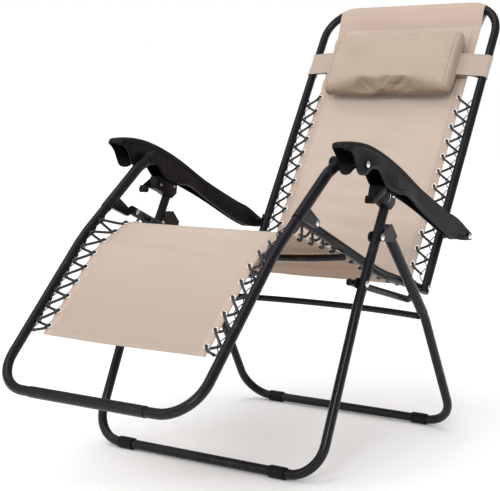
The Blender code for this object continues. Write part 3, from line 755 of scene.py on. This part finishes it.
def is_hole(part, x0, x1, mark0, mark1):
    middle_x, middle = abs(x0 + x1) / 2, (mark0 + mark1) / 2
    at_eyelet = abs(middle_x - part.half + EYELET_IN) < 0.001
    return at_eyelet and any(abs(middle - m) < 0.001 for m in part.eyelets)


def layer(name, across, along, place, up, thickness, surface, hole=None, under=0):
    """A sheet of cloth as a closed thin solid, with UVs in metres and square holes where hole() says.

    under is the index of its lower side's surface.
    """
    bm = bmesh.new()
    uv = bm.loops.layers.uv.verify()
    grid = {}
    for j, mark in enumerate(along):
        for i, x in enumerate(across):
            spot, thick = place(x, mark), thickness(x, mark)
            for face_side in (1, -1):
                grid[i, j, face_side] = bm.verts.new(spot + face_side * thick / 2 * up(x, mark))
    cells = [(i, j) for j in range(len(along) - 1) for i in range(len(across) - 1)]
    if hole:
        cells = [(i, j) for i, j in cells if not hole(across[i], across[i + 1], along[j], along[j + 1])]
    cells = set(cells)

    def put(corners, index=0):
        face = bm.faces.new([grid[c] for c in corners])
        face.material_index = index
        for loop, (i, j, _) in zip(face.loops, corners):
            loop[uv].uv = (across[i], along[j])

    for i, j in cells:
        square = [(i, j), (i + 1, j), (i + 1, j + 1), (i, j + 1)]
        put([(*c, 1) for c in square])
        put([(*c, -1) for c in reversed(square)], under)
        beside = [(i, j - 1), (i + 1, j), (i, j + 1), (i - 1, j)]
        for k, neighbour in enumerate(beside):
            if neighbour not in cells:
                one, two = square[k], square[(k + 1) % 4]
                put([(*two, 1), (*one, 1), (*one, -1), (*two, -1)])
    loose = [v for v in bm.verts if not v.link_faces]
    bmesh.ops.delete(bm, geom=loose, context="VERTS")
    made = finish_mesh(name, bm, surface)
    split_at(made, 60)
    return made


def sling_part(part, hem_end=0.0):
    """The cloth of one part, doubled at its side hems and up to hem_end along the sling."""
    def thickness(x, mark):
        in_hem = abs(x) > part.half - HEM - 0.0005 or mark < hem_end
        return 2 * CLOTH if in_hem else CLOTH

    def up(x, mark):
        return part.up(mark)

    def hole(*cell):
        return is_hole(part, *cell)

    name = f"{part.name}_cloth"
    across, along = columns(part.half), rows(part)
    under = 2 if part is SEAT else 0
    made = layer(name, across, along, part.place, up, thickness, SLING, hole, under)
    for surface in (HEM_CLOTH, UNDERSIDE):
        made.data.materials.append(surface)
    for face in made.data.polygons:
        if abs(face.center.x) > part.half - HEM and not face.material_index:
            face.material_index = 1
    return made


def pocket():
    """The back's upper end, turned over the top bar and stitched down behind."""
    def place(x, mark):
        point = POCKET_LINE.point(mark)
        up_share = ease((point - back_top).dot(back_way), -POCKET, -0.008)
        return at(x, point - up_share * bar_drop(x) * back_way)

    def up(x, mark):
        return at(0, square_to(POCKET_LINE.way(mark)))

    across, along = columns(SLING_HALF), spread(0.0, POCKET_LINE.length, 40)
    return layer("back_pocket", across, along, place, up, lambda x, mark: CLOTH, HEM_CLOTH)


def washers(part):
    """The eyelets' two-part metal washers, one piece for a part of the sling."""
    bm = bmesh.new()
    profile = [(-0.0024, 0.0038), (-0.0024, 0.0068), (-0.0014, 0.0074), (-0.0014, 0.0042)]
    profile += [(0.0014, 0.0042), (0.0014, 0.0075), (0.0022, 0.0073)]
    profile += [(0.0028, 0.0061), (0.0025, 0.0043), (0.0018, 0.0037)]
    for mark in part.eyelets:
        for _, hand in SIDES:
            lathe(bm, profile, part.eyelet(hand, mark), part.up(mark), 18, closed=True)
    return finish_mesh(f"{part.name}_eyelets", bm, EYELET_METAL)


def stitches(name, runs):
    """Short raised threads along runs of (point, up) pairs."""
    bm = bmesh.new()
    pitch, dash, wide, high = 0.0042, 0.0030, 0.00045, 0.0004
    for run in runs:
        travelled, due = 0.0, 0.0
        for (one, up), (two, _) in zip(run, run[1:]):
            length = (two - one).length
            way = (two - one) / length
            across = way.cross(up).normalized()
            while due <= travelled + length:
                middle = one + (due - travelled) * way
                tips = [bm.verts.new(middle + out * dash / 2 * way) for out in (-1, 1)]
                girth = (wide * across, high * up, -wide * across, -high * up)
                belt = [bm.verts.new(middle + out) for out in girth]
                for k in range(4):
                    bm.faces.new((belt[k], belt[(k + 1) % 4], tips[1]))
                    bm.faces.new((belt[(k + 1) % 4], belt[k], tips[0]))
                due += pitch
            travelled += length
    return finish_mesh(name, bm, THREAD)


def hem_runs(part):
    """The two seams of each side hem."""
    runs = []
    marks = spread(part.start, part.end, int((part.end - part.start) / 0.008))
    for _, hand in SIDES:
        for inset in (0.0025, HEM - 0.0020):
            run = []
            for mark in marks:
                up = part.up(mark)
                run.append((part.place(hand * (part.half - inset), mark) + CLOTH * up, up))
            runs.append(run)
    return runs


def cross_run(part, mark, lift):
    """A seam across the cloth."""
    count = 24
    xs = [part.half * (1 - 2 * i / count) * 0.99 for i in range(count + 1)]
    return [(part.place(x, mark) + lift * part.up(mark), part.up(mark)) for x in xs]


def lacing(part, hand, node_x, line, flip):
    """One cord: up through an eyelet, over the edge to the frame's line, and back under to the next."""
    order = sorted(part.eyelets, reverse=flip)
    step = -part.step if flip else part.step
    out = at(hand, (0, 0))
    path = []
    for i, mark in enumerate(order):
        up = part.up(mark)
        eye = part.eyelet(hand, mark)
        edge_x = hand * (part.half + 0.0010)
        node = at(hand * node_x, nearest_on(line, SLING_LINE.point(mark + part.reach * step)))
        way = at(0, SLING_LINE.way(mark)) * (1 if step > 0 else -1)
        if i:
            path.append(at(edge_x, SLING_LINE.point(mark - 0.06 * step)) - 0.0050 * up)
        path.append(eye - 0.0048 * up - 0.0008 * out)
        path.append(eye + 0.0048 * up + 0.0004 * out)
        path.append(at(edge_x, SLING_LINE.point(mark + 0.26 * step)) + 0.0050 * up)
        path.append(node + 0.0026 * up - 0.0008 * way)
        if i < len(order) - 1:
            path.append(node - 0.0032 * up + 0.0012 * way)
    bm = bmesh.new()
    tube(bm, curved(path, 5), CORD, 8)
    return bm


def hook_wires(part, hand, tube_radius, line):
    """A thin wire at each turn of the cord: both ends on the frame's tube, its bow round the cord."""
    bm = bmesh.new()
    inside = hand * (FRAME_X - tube_radius - WIRE - 0.0002)
    for eyelet in part.eyelets:
        mark = eyelet - part.reach * part.step
        up = part.up(mark)
        way = at(0, SLING_LINE.way(mark))
        node = at(hand * (LACE_X - CORD - WIRE - 0.0003), nearest_on(line, SLING_LINE.point(mark)))
        low = at(inside, nearest_on(line, SLING_LINE.point(mark - 0.019)))
        high = at(inside, nearest_on(line, SLING_LINE.point(mark + 0.019)))
        wrap = at(hand * tube_radius * 0.75, (0, 0))
        path = [low + wrap - tube_radius * 0.95 * up, low - 0.004 * up, low, node - 0.0040 * way]
        path += [node + 0.0040 * way, high, high - 0.004 * up, high + wrap - tube_radius * 0.95 * up]
        tube(bm, curved(path, 4), WIRE, 6)
    return bm


def nearest_on(line, point):
    """The point of a line of side points that is nearest to another point."""
    found = []
    for start, end in zip(line, line[1:]):
        way = end - start
        share = min(max((point - start).dot(way) / way.length_squared, 0.0), 1.0)
        found.append(start + share * way)
    return min(found, key=lambda p: (p - point).length)


LINK_WAY = heading(37.7)
LINK_JOINT = side(-0.2735, 0.5643)
FOOT_TUBE = [LINK_JOINT + 0.12 * LINK_WAY, side(-0.3507, 0.5046), side(-0.6320, 0.2070)]


def sling():
    """The three cloths and the pocket with their trim, each carried by the bodies it hangs from."""
    foot_hem = 0.020
    foot = sling_part(FOOT, foot_hem)
    seat = sling_part(SEAT)
    back = sling_part(BACK)
    top = pocket()
    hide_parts("foot_sling")
    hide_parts("seat_sling")
    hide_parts("back_sling")
    foot_seams = hem_runs(FOOT) + [cross_run(FOOT, foot_hem - 0.003, CLOTH)]
    foot_trim = [washers(FOOT), stitches("foot_stitches", foot_seams)]
    seat_trim = [washers(SEAT), stitches("seat_stitches", hem_runs(SEAT))]
    back_seams = hem_runs(BACK) + [cross_run(BACK, BACK.end - inset, CLOTH / 2) for inset in (0.0015, 0.0075)]
    back_trim = [washers(BACK), stitches("back_stitches", back_seams)]
    bend = 0.075  # how far past a crease the cloth still turns
    for pieces, body, crease, past in (
        ([foot] + foot_trim, "foot", AT_KNEE, AT_KNEE - bend),
        ([back] + back_trim, "back", AT_CREASE, AT_CREASE + bend),
    ):
        start, end = at(0, SLING_LINE.point(crease)), at(0, SLING_LINE.point(past))
        for piece in pieces:
            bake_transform(piece, "seat", body, start=start, end=end)
    for piece in [seat] + seat_trim:
        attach(piece, "seat")
    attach(top, "back")
    for cloth, part, frame_node, trim in (
        (foot, FOOT, "foot_frame", foot_trim),
        (seat, SEAT, "seat_rail_left", seat_trim),
        (back, BACK, "back_frame", back_trim),
    ):
        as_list(trim)


def laces():
    """The cords along the cloths' edges, and the wires of the back's and the foot's cords."""
    back_tube = [seat_rear, back_top]
    rail = [knee, side(0.12, 0.412), seat_rear]
    seat_lace_x = RAIL_X - TUBE - CORD - 0.0003
    for word, hand in SIDES:
        for part, x, line, flip in (
            (BACK, LACE_X, back_tube, True),
            (FOOT, LACE_X, FOOT_TUBE, True),
            (SEAT, seat_lace_x, rail, False),
        ):
            bm = lacing(part, hand, x, line, flip)
            cord = finish_mesh(f"{part.name}_lace_{word}", bm, LACE, body=part.name)
            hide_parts(f"{part.name}_lacing_{word}")
        for part, radius, line in ((BACK, TUBE, back_tube), (FOOT, WIDE_TUBE, FOOT_TUBE)):
            bm = hook_wires(part, hand, radius, line)
            wires = finish_mesh(f"{part.name}_wires_{word}", bm, PAINT, body=part.name)
            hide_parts(f"{part.name}_hooks_{word}")


# ---- the pillow ----

# Half its width, in single precision because the simulated creases turn on the last digit.
PILLOW_HALF = Vector((0.192, 0.0)).x
PILLOW_CLEAR = 0.0040  # from the middle of the back's cloth to the pillow
PILLOW_ASIDE = 0.006  # it has slipped a little to the sitter's left
PILLOW_END = PILLOW_HALF - 0.014  # where the front panel is sewn to the end panels
pillow_low, pillow_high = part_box("pillow")
PILLOW_MIDDLE = Vector(((pillow_low.y + pillow_high.y) / 2, (pillow_low.z + pillow_high.z) / 2))


def pillow_spot(x, up, out):
    """A place given from the pillow's middle: across, up the back and out of it."""
    return at(x + PILLOW_ASIDE, PILLOW_MIDDLE + up * back_way + out * back_front)


def cut_case():
    """The unfilled case: a flat rounded bag, meshed finer than the creases it will get."""
    bm = bmesh.new()
    stations = 28
    sides = 32
    rings = []
    for i in range(stations + 1):
        x = (2 * i / stations - 1) * (PILLOW_HALF - 0.002)
        ring = []
        for k in range(sides):
            angle = 2 * math.pi * (k + 0.5) / sides
            corner = 1 / (abs(math.cos(angle)) ** 3 + abs(math.sin(angle)) ** 3) ** (1 / 3)
            bow = 1 - (x / PILLOW_HALF) ** 2  # cut fuller in the middle, where filling draws the edges in
            up = (0.092 + 0.014 * bow) * corner * math.cos(angle) - 0.004
            out = 0.025 * corner * math.sin(angle) - 0.003
            ring.append(bm.verts.new(pillow_spot(x, up, out)))
        rings.append(ring)
    skin(bm, rings)
    case = finish_mesh("pillow_case", bm, PILLOW, body="pillow")
    remesh = case.modifiers.new("Remesh", "REMESH")
    remesh.mode = "VOXEL"
    remesh.voxel_size = 0.0055
    apply_modifiers(case)
    return case


def fill(case):
    """Cloth simulation: pressure fills the case, and its seams at the ends stay put."""
    ends = case.vertex_groups.new(name="seams")
    for vertex in case.data.vertices:
        x = abs(vertex.co.x - PILLOW_ASIDE)
        if x > PILLOW_HALF - 0.012:
            ends.add([vertex.index], 0.35, "REPLACE")
    cloth = case.modifiers.new("Cloth", "CLOTH")
    settings = cloth.settings
    settings.quality = 6
    settings.mass = 0.25
    settings.tension_stiffness = 18
    settings.compression_stiffness = 18
    settings.shear_stiffness = 8
    settings.bending_stiffness = 0.25
    settings.use_pressure = True
    settings.uniform_pressure_force = 4.0
    settings.effector_weights.gravity = 0.0
    settings.vertex_group_mass = "seams"
    settings.pin_stiffness = 0.4
    last_frame = 20
    cloth.point_cache.frame_start = 1
    cloth.point_cache.frame_end = last_frame
    scene = bpy.context.scene
    for number in range(1, last_frame + 1):
        scene.frame_set(number)
        bpy.context.view_layer.update()
    before = [v.co.copy() for v in case.data.vertices]
    apply_modifiers(case)
    scene.frame_set(1)
    furthest = 0.016  # keeps the filled case inside its CAD box
    for vertex, start in zip(case.data.vertices, before):
        move = vertex.co - start
        if move.length > furthest:
            vertex.co = start + move * (furthest / move.length)


def press_flat(case):
    """The pillow lies against the back's cloth, clear of its stitches."""
    out_way = at(0, back_front)
    for vertex in case.data.vertices:
        behind = PILLOW_CLEAR - (vertex.co - at(0, back_top)).dot(out_way)
        if behind > 0:
            vertex.co += behind * out_way


def piping(case):
    """Corded seams where the front and back panels meet the end panels."""
    tree = BVHTree.FromObject(case, bpy.context.evaluated_depsgraph_get())
    bm = bmesh.new()
    for _, hand in SIDES:
        x = hand * PILLOW_END
        loop = []
        for k in range(72):
            angle = 2 * math.pi * k / 72
            way = at(0, math.cos(angle) * back_way + math.sin(angle) * back_front)
            hit = tree.ray_cast(pillow_spot(x, 0, 0) + 0.3 * way, -way)[0]
            if hit:
                loop.append(hit)
        tube(bm, loop + loop[:2], 0.0017, 6)
    return finish_mesh("pillow_piping", bm, PILLOW, body="pillow")


def pillow():
    case = cut_case()
    fill(case)
    press_flat(case)
    smooth = case.modifiers.new("Smooth", "SMOOTH")
    smooth.factor = 0.5
    smooth.iterations = 2
    finer = case.modifiers.new("Finer", "SUBSURF")
    finer.levels = finer.render_levels = 1
    apply_modifiers(case)
    smooth_faces(case.data)
    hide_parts("pillow")
    piping(case)


STRAP_LOW, STRAP_HIGH = -0.031, 0.033  # the strap's edges, up the back from the pillow's middle


def strap(word, hand):
    """An elastic band from the pillow's end round the back's tube and home, clear of the sling's edge."""
    out_of_tube = (PILLOW_MIDDLE - seat_rear).dot(back_front)
    band_thick, edge_thick = 0.0012, 0.0020
    wrap = TUBE + 0.0005 + band_thick / 2
    end = PILLOW_HALF + hand * PILLOW_ASIDE
    path = [Vector((end - 0.020, -0.008)), Vector((end + 0.004, -0.012))]
    tube_middle = Vector((FRAME_X, -out_of_tube))
    path += [tube_middle + wrap * heading(degrees) for degrees in range(100, -181, -20)]
    path += [Vector((SLING_HALF + 0.014, -0.022)), Vector((end - 0.012, -0.024))]
    line = Line(curved(path, 5))
    along = spread(0.0, line.length, math.ceil(line.length / 0.003))
    askew = 0.003 - 0.007 * hand
    low, high = STRAP_LOW + askew, STRAP_HIGH + askew
    across = [low, low + 0.004, low + 0.0045]
    across += [low + (high - low) * i / 8 for i in range(1, 8)] + [high - 0.0045, high - 0.004, high]

    def place(up, mark):
        x, out = line.point(mark)
        belly = 0.0006 * math.sin(40 * mark) * math.sin(90 * up)
        return pillow_spot(hand * x - PILLOW_ASIDE, up, out + belly)

    def normal(up, mark):
        way = line.way(mark)
        return hand * way[1] * at(-1, (0, 0)) + at(0, way[0] * back_front)

    def thickness(up, mark):
        return edge_thick if up < low + 0.0042 or up > high - 0.0042 else band_thick

    band = layer(f"pillow_band_{word}", across, along, place, normal, thickness, SLING)
    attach(band, "pillow")
    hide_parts(f"pillow_strap_{word}")


# ---- the armrests ----

ARM_HALF = 0.0225  # half an armrest's width
ARM_FRONT_HALF = 0.025
ARM_TOP = [  # height of an armrest's ridge along the side drawing's y
    (-0.190, 0.7130), (-0.176, 0.7235), (-0.140, 0.7250), (-0.090, 0.7170), (-0.020, 0.6950),
    (0.050, 0.6640), (0.150, 0.6115), (0.285, 0.5530), (0.335, 0.5345), (0.385, 0.5070),
    (0.408, 0.4930),
]
ARM_SKIRT = [  # height of its lower edges
    (-0.190, 0.7085), (-0.174, 0.7050), (-0.158, 0.6850), (-0.150, 0.6640), (-0.136, 0.6540),
    (-0.110, 0.6540), (-0.088, 0.6650), (-0.055, 0.6600), (-0.020, 0.6240), (0.044, 0.6040),
    (0.075, 0.6000), (0.169, 0.5570), (0.283, 0.5030), (0.350, 0.4790), (0.408, 0.4730),
]
ARM_LOWER_SHARE = [  # how wide the channel is at its lower edges, as a share of its width at the top
    (-0.190, 1.0), (0.070, 1.0), (0.170, 0.5), (0.330, 0.5), (0.375, 1.0),
    (0.408, 1.0),
]


def eased(table, y):
    """The height at y of a smooth curve through a table's points."""
    points = [Vector(p) for p in table]
    slopes = []
    for i in range(len(points)):
        one, two = points[max(i - 1, 0)], points[min(i + 1, len(points) - 1)]
        slopes.append((two.y - one.y) / (two.x - one.x))
    for i in range(len(points) - 1):
        if y <= points[i + 1].x or i == len(points) - 2:
            break
    step = points[i + 1].x - points[i].x
    t = min(max((y - points[i].x) / step, 0.0), 1.0)
    low, high = points[i].y, points[i + 1].y
    bend = slopes[i] * step * (t**3 - 2 * t**2 + t) + slopes[i + 1] * step * (t**3 - t**2)
    return low + (high - low) * t * t * (3 - 2 * t) + bend


def arm_section(y):
    """Half of an armrest's outer outline at y, from its lower edge to its ridge, and its hollow."""
    half = ARM_FRONT_HALF + (ARM_HALF - ARM_FRONT_HALF) * ease(y, -0.12, 0.0)
    half -= 0.010 * (1 - ease(y, -0.196, -0.172))
    top, edge = eased(ARM_TOP, y), eased(ARM_SKIRT, y)
    s = min(1.0, (top - edge) / 0.034)  # shrinks the mouldings where the armrest is low
    band = 0.0014 * ease(y, 0.030, 0.050)  # how far the lower band stands out
    low = half * min(1.0, eased(ARM_LOWER_SHARE, y))
    lean = (half - low) * 0.30  # how much of the taper is already gone at the band's upper edge
    outer = [
        (low - 0.0022, edge),
        (low - 0.0018 + band, edge + 0.0010 * s),
        (low + lean - 0.0018 + band, edge + 0.0110 * s),
        (low + lean - 0.0026, edge + 0.0126 * s),
        (half - 0.0026, top - 0.0150 * s),
        (half, top - 0.0125 * s),
        (half, top - 0.0060 * s),
        (half - 0.0012, top - 0.0034 * s),
        (half - 0.0040, top - 0.0016 * s),
    ]
    for k in range(3):
        x = half - 0.0060 - 0.0030 * k
        crown = top - 0.0012 * s * (1 - k / 3)
        outer += [(x, crown), (x - 0.0005, crown - 0.0008), (x - 0.0015, crown - 0.0008), (x - 0.0020, crown)]
    hollow = half - 0.0046
    inner = [(low - 0.0046, edge), (hollow, top - 0.0080 * s), (0.0, top - 0.0045 * s)]
    return outer, top, inner


def armrest(word, hand):
    """A channel open below: sections from the front to the rear, joined."""
    bm = bmesh.new()
    sections = []
    for y in spread(ARM_TOP[0][0], ARM_TOP[-1][0], 84):
        outer, top, inner = arm_section(y)
        section = outer + [(0.0, top)] + [(-x, z) for x, z in reversed(outer)]
        section += [(-x, z) for x, z in inner] + [(x, z) for x, z in reversed(inner[:2])]
        sections.append([bm.verts.new(at(hand * LEG_X + x, side(y, z))) for x, z in section])
    skin(bm, sections)
    made = finish_mesh(f"arm_pad_{word}", bm, PLASTIC, body="armrests")
    split_at(made, 32)
    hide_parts(f"armrest_{word}")


def lock(word, hand):
    """The clamp on the front leg's top, with cheek plates, rivets and a spring's bright edge."""
    outline = [
        side(-0.0470, 0.5990),
        side(-0.0380, 0.6270),
        side(0.0140, 0.6270),
        side(0.0380, 0.6120),
        side(0.0350, 0.5820),
        side(0.0160, 0.5705),
        side(-0.0140, 0.5865),
    ]
    centre = sum(outline, Vector((0, 0))) / len(outline)
    x = hand * LEG_X
    bm = bmesh.new()
    plate(bm, outline, x - 0.0125, x + 0.0125)
    for out in (-1, 1):
        cheek = [centre + 0.86 * (p - centre) for p in outline]
        plate(bm, cheek, x + out * 0.0120, x + out * 0.0142)
        rim = [centre + 0.55 * (p - centre) for p in outline]
        plate(bm, rim, x + out * 0.0140, x + out * 0.0150)
    body = softened(finish_mesh(f"lock_body_{word}", bm, PLASTIC, body="front_leg"), 0.0012, 2)
    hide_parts(f"lock_housing_{word}")
    glints = bmesh.new()
    spring = centre + Vector((-0.006, 0.002))
    arc = [at(x + hand * 0.0154, spring + 0.013 * heading(d)) for d in range(-70, 21, 10)]
    tube(glints, arc, 0.0009, 6)
    rivet = [(-0.0165, 0.0035), (-0.0160, 0.0035), (0.0160, 0.0035), (0.0172, 0.0021)]
    for place in (side(-0.030, 0.607), side(0.022, 0.600)):
        lathe(glints, rivet, at(x, place), (hand, 0, 0), 14)
    finish_mesh(f"lock_rivets_{word}", glints, STEEL, body="front_leg")


def lever(word, hand):
    """A flat arm on the housing's outer side, and a ribbed grip with a thumb fin across its end."""
    paddle = side(-0.0690, 0.5960)
    way = (paddle - lever_pivot).normalized()
    angle = math.degrees(math.atan2(way[1], way[0]))
    bm = bmesh.new()
    arm = boss(lever_pivot, 0.0095, angle + 90, 180) + boss(paddle, 0.0068, angle - 90, 180)
    plate(bm, arm, hand * (LEG_X + 0.0155), hand * (LEG_X + 0.0183))
    made = softened(finish_mesh(f"lever_arm_{word}", bm, PLASTIC, body=f"lever_{word}"), 0.0008, 2)
    grip = bmesh.new()
    rib, groove = 0.0072, 0.0062  # radii
    profile = [(-0.0110, 0.0050), (-0.0104, 0.0066)]
    for k in range(4):
        start = -0.0100 + 0.0052 * k
        profile += [(start, rib), (start + 0.0036, rib), (start + 0.0040, groove), (start + 0.0048, groove)]
    profile += [(0.0106, 0.0066), (0.0110, 0.0050)]
    lathe(grip, profile, at(hand * (LEG_X + 0.0080), paddle), (1, 0, 0), 20)
    rise = square_to(way) if square_to(way)[1] > 0 else -square_to(way)
    tip = paddle + 0.0105 * rise
    fin = [paddle + 0.004 * way, tip + 0.002 * way, tip - 0.003 * way, paddle - 0.004 * way]
    plate(grip, fin, hand * (LEG_X - 0.0015), hand * (LEG_X + 0.0170))
    ribbed = finish_mesh(f"lever_grip_{word}", grip, PLASTIC, body=f"lever_{word}")
    split_at(ribbed, 40)
    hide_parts(f"lock_lever_{word}")


def bushings():
    """Caps on the foot links' top ends, and washers at the pivots on the front legs' inner sides."""
    for word, hand in SIDES:
        bm = bmesh.new()
        profile = [(-0.0165, 0.0090), (-0.0160, 0.0150), (-0.0145, 0.0160), (0.0130, 0.0160)]
        profile += [(0.0140, 0.0135), (0.0160, 0.0135), (0.0165, 0.0120), (0.0200, 0.0120), (0.0205, 0.0100)]
        lathe(bm, profile, at(hand * FRAME_X, arm_front), (hand, 0, 0), 32)
        cap = finish_mesh(f"link_cap_{word}", bm, PLASTIC, body="foot")
        split_at(cap, 45)
        for name, point in (("leg", leg_pivot), ("seat", seat_pivot)):
            bm = bmesh.new()
            profile = [(0.0, 0.0120), (0.0030, 0.0125), (0.0060, 0.0115), (0.0078, 0.0085), (0.0082, 0.0050)]
            lathe(bm, profile, at(hand * (LEG_X - TUBE + 0.0012), point), (-hand, 0, 0), 28)
            made = finish_mesh(f"{name}_bushing_{word}", bm, PLASTIC, body="front_leg")
            split_at(made, 45)


# ---- the whole scene ----


def build():
    camera()
    studio()
    dress_nodes()
    sling()
    laces()
    pillow()
    for word, hand in SIDES:
        strap(word, hand)
        armrest(word, hand)
        lock(word, hand)
        lever(word, hand)
    bushings()


build()
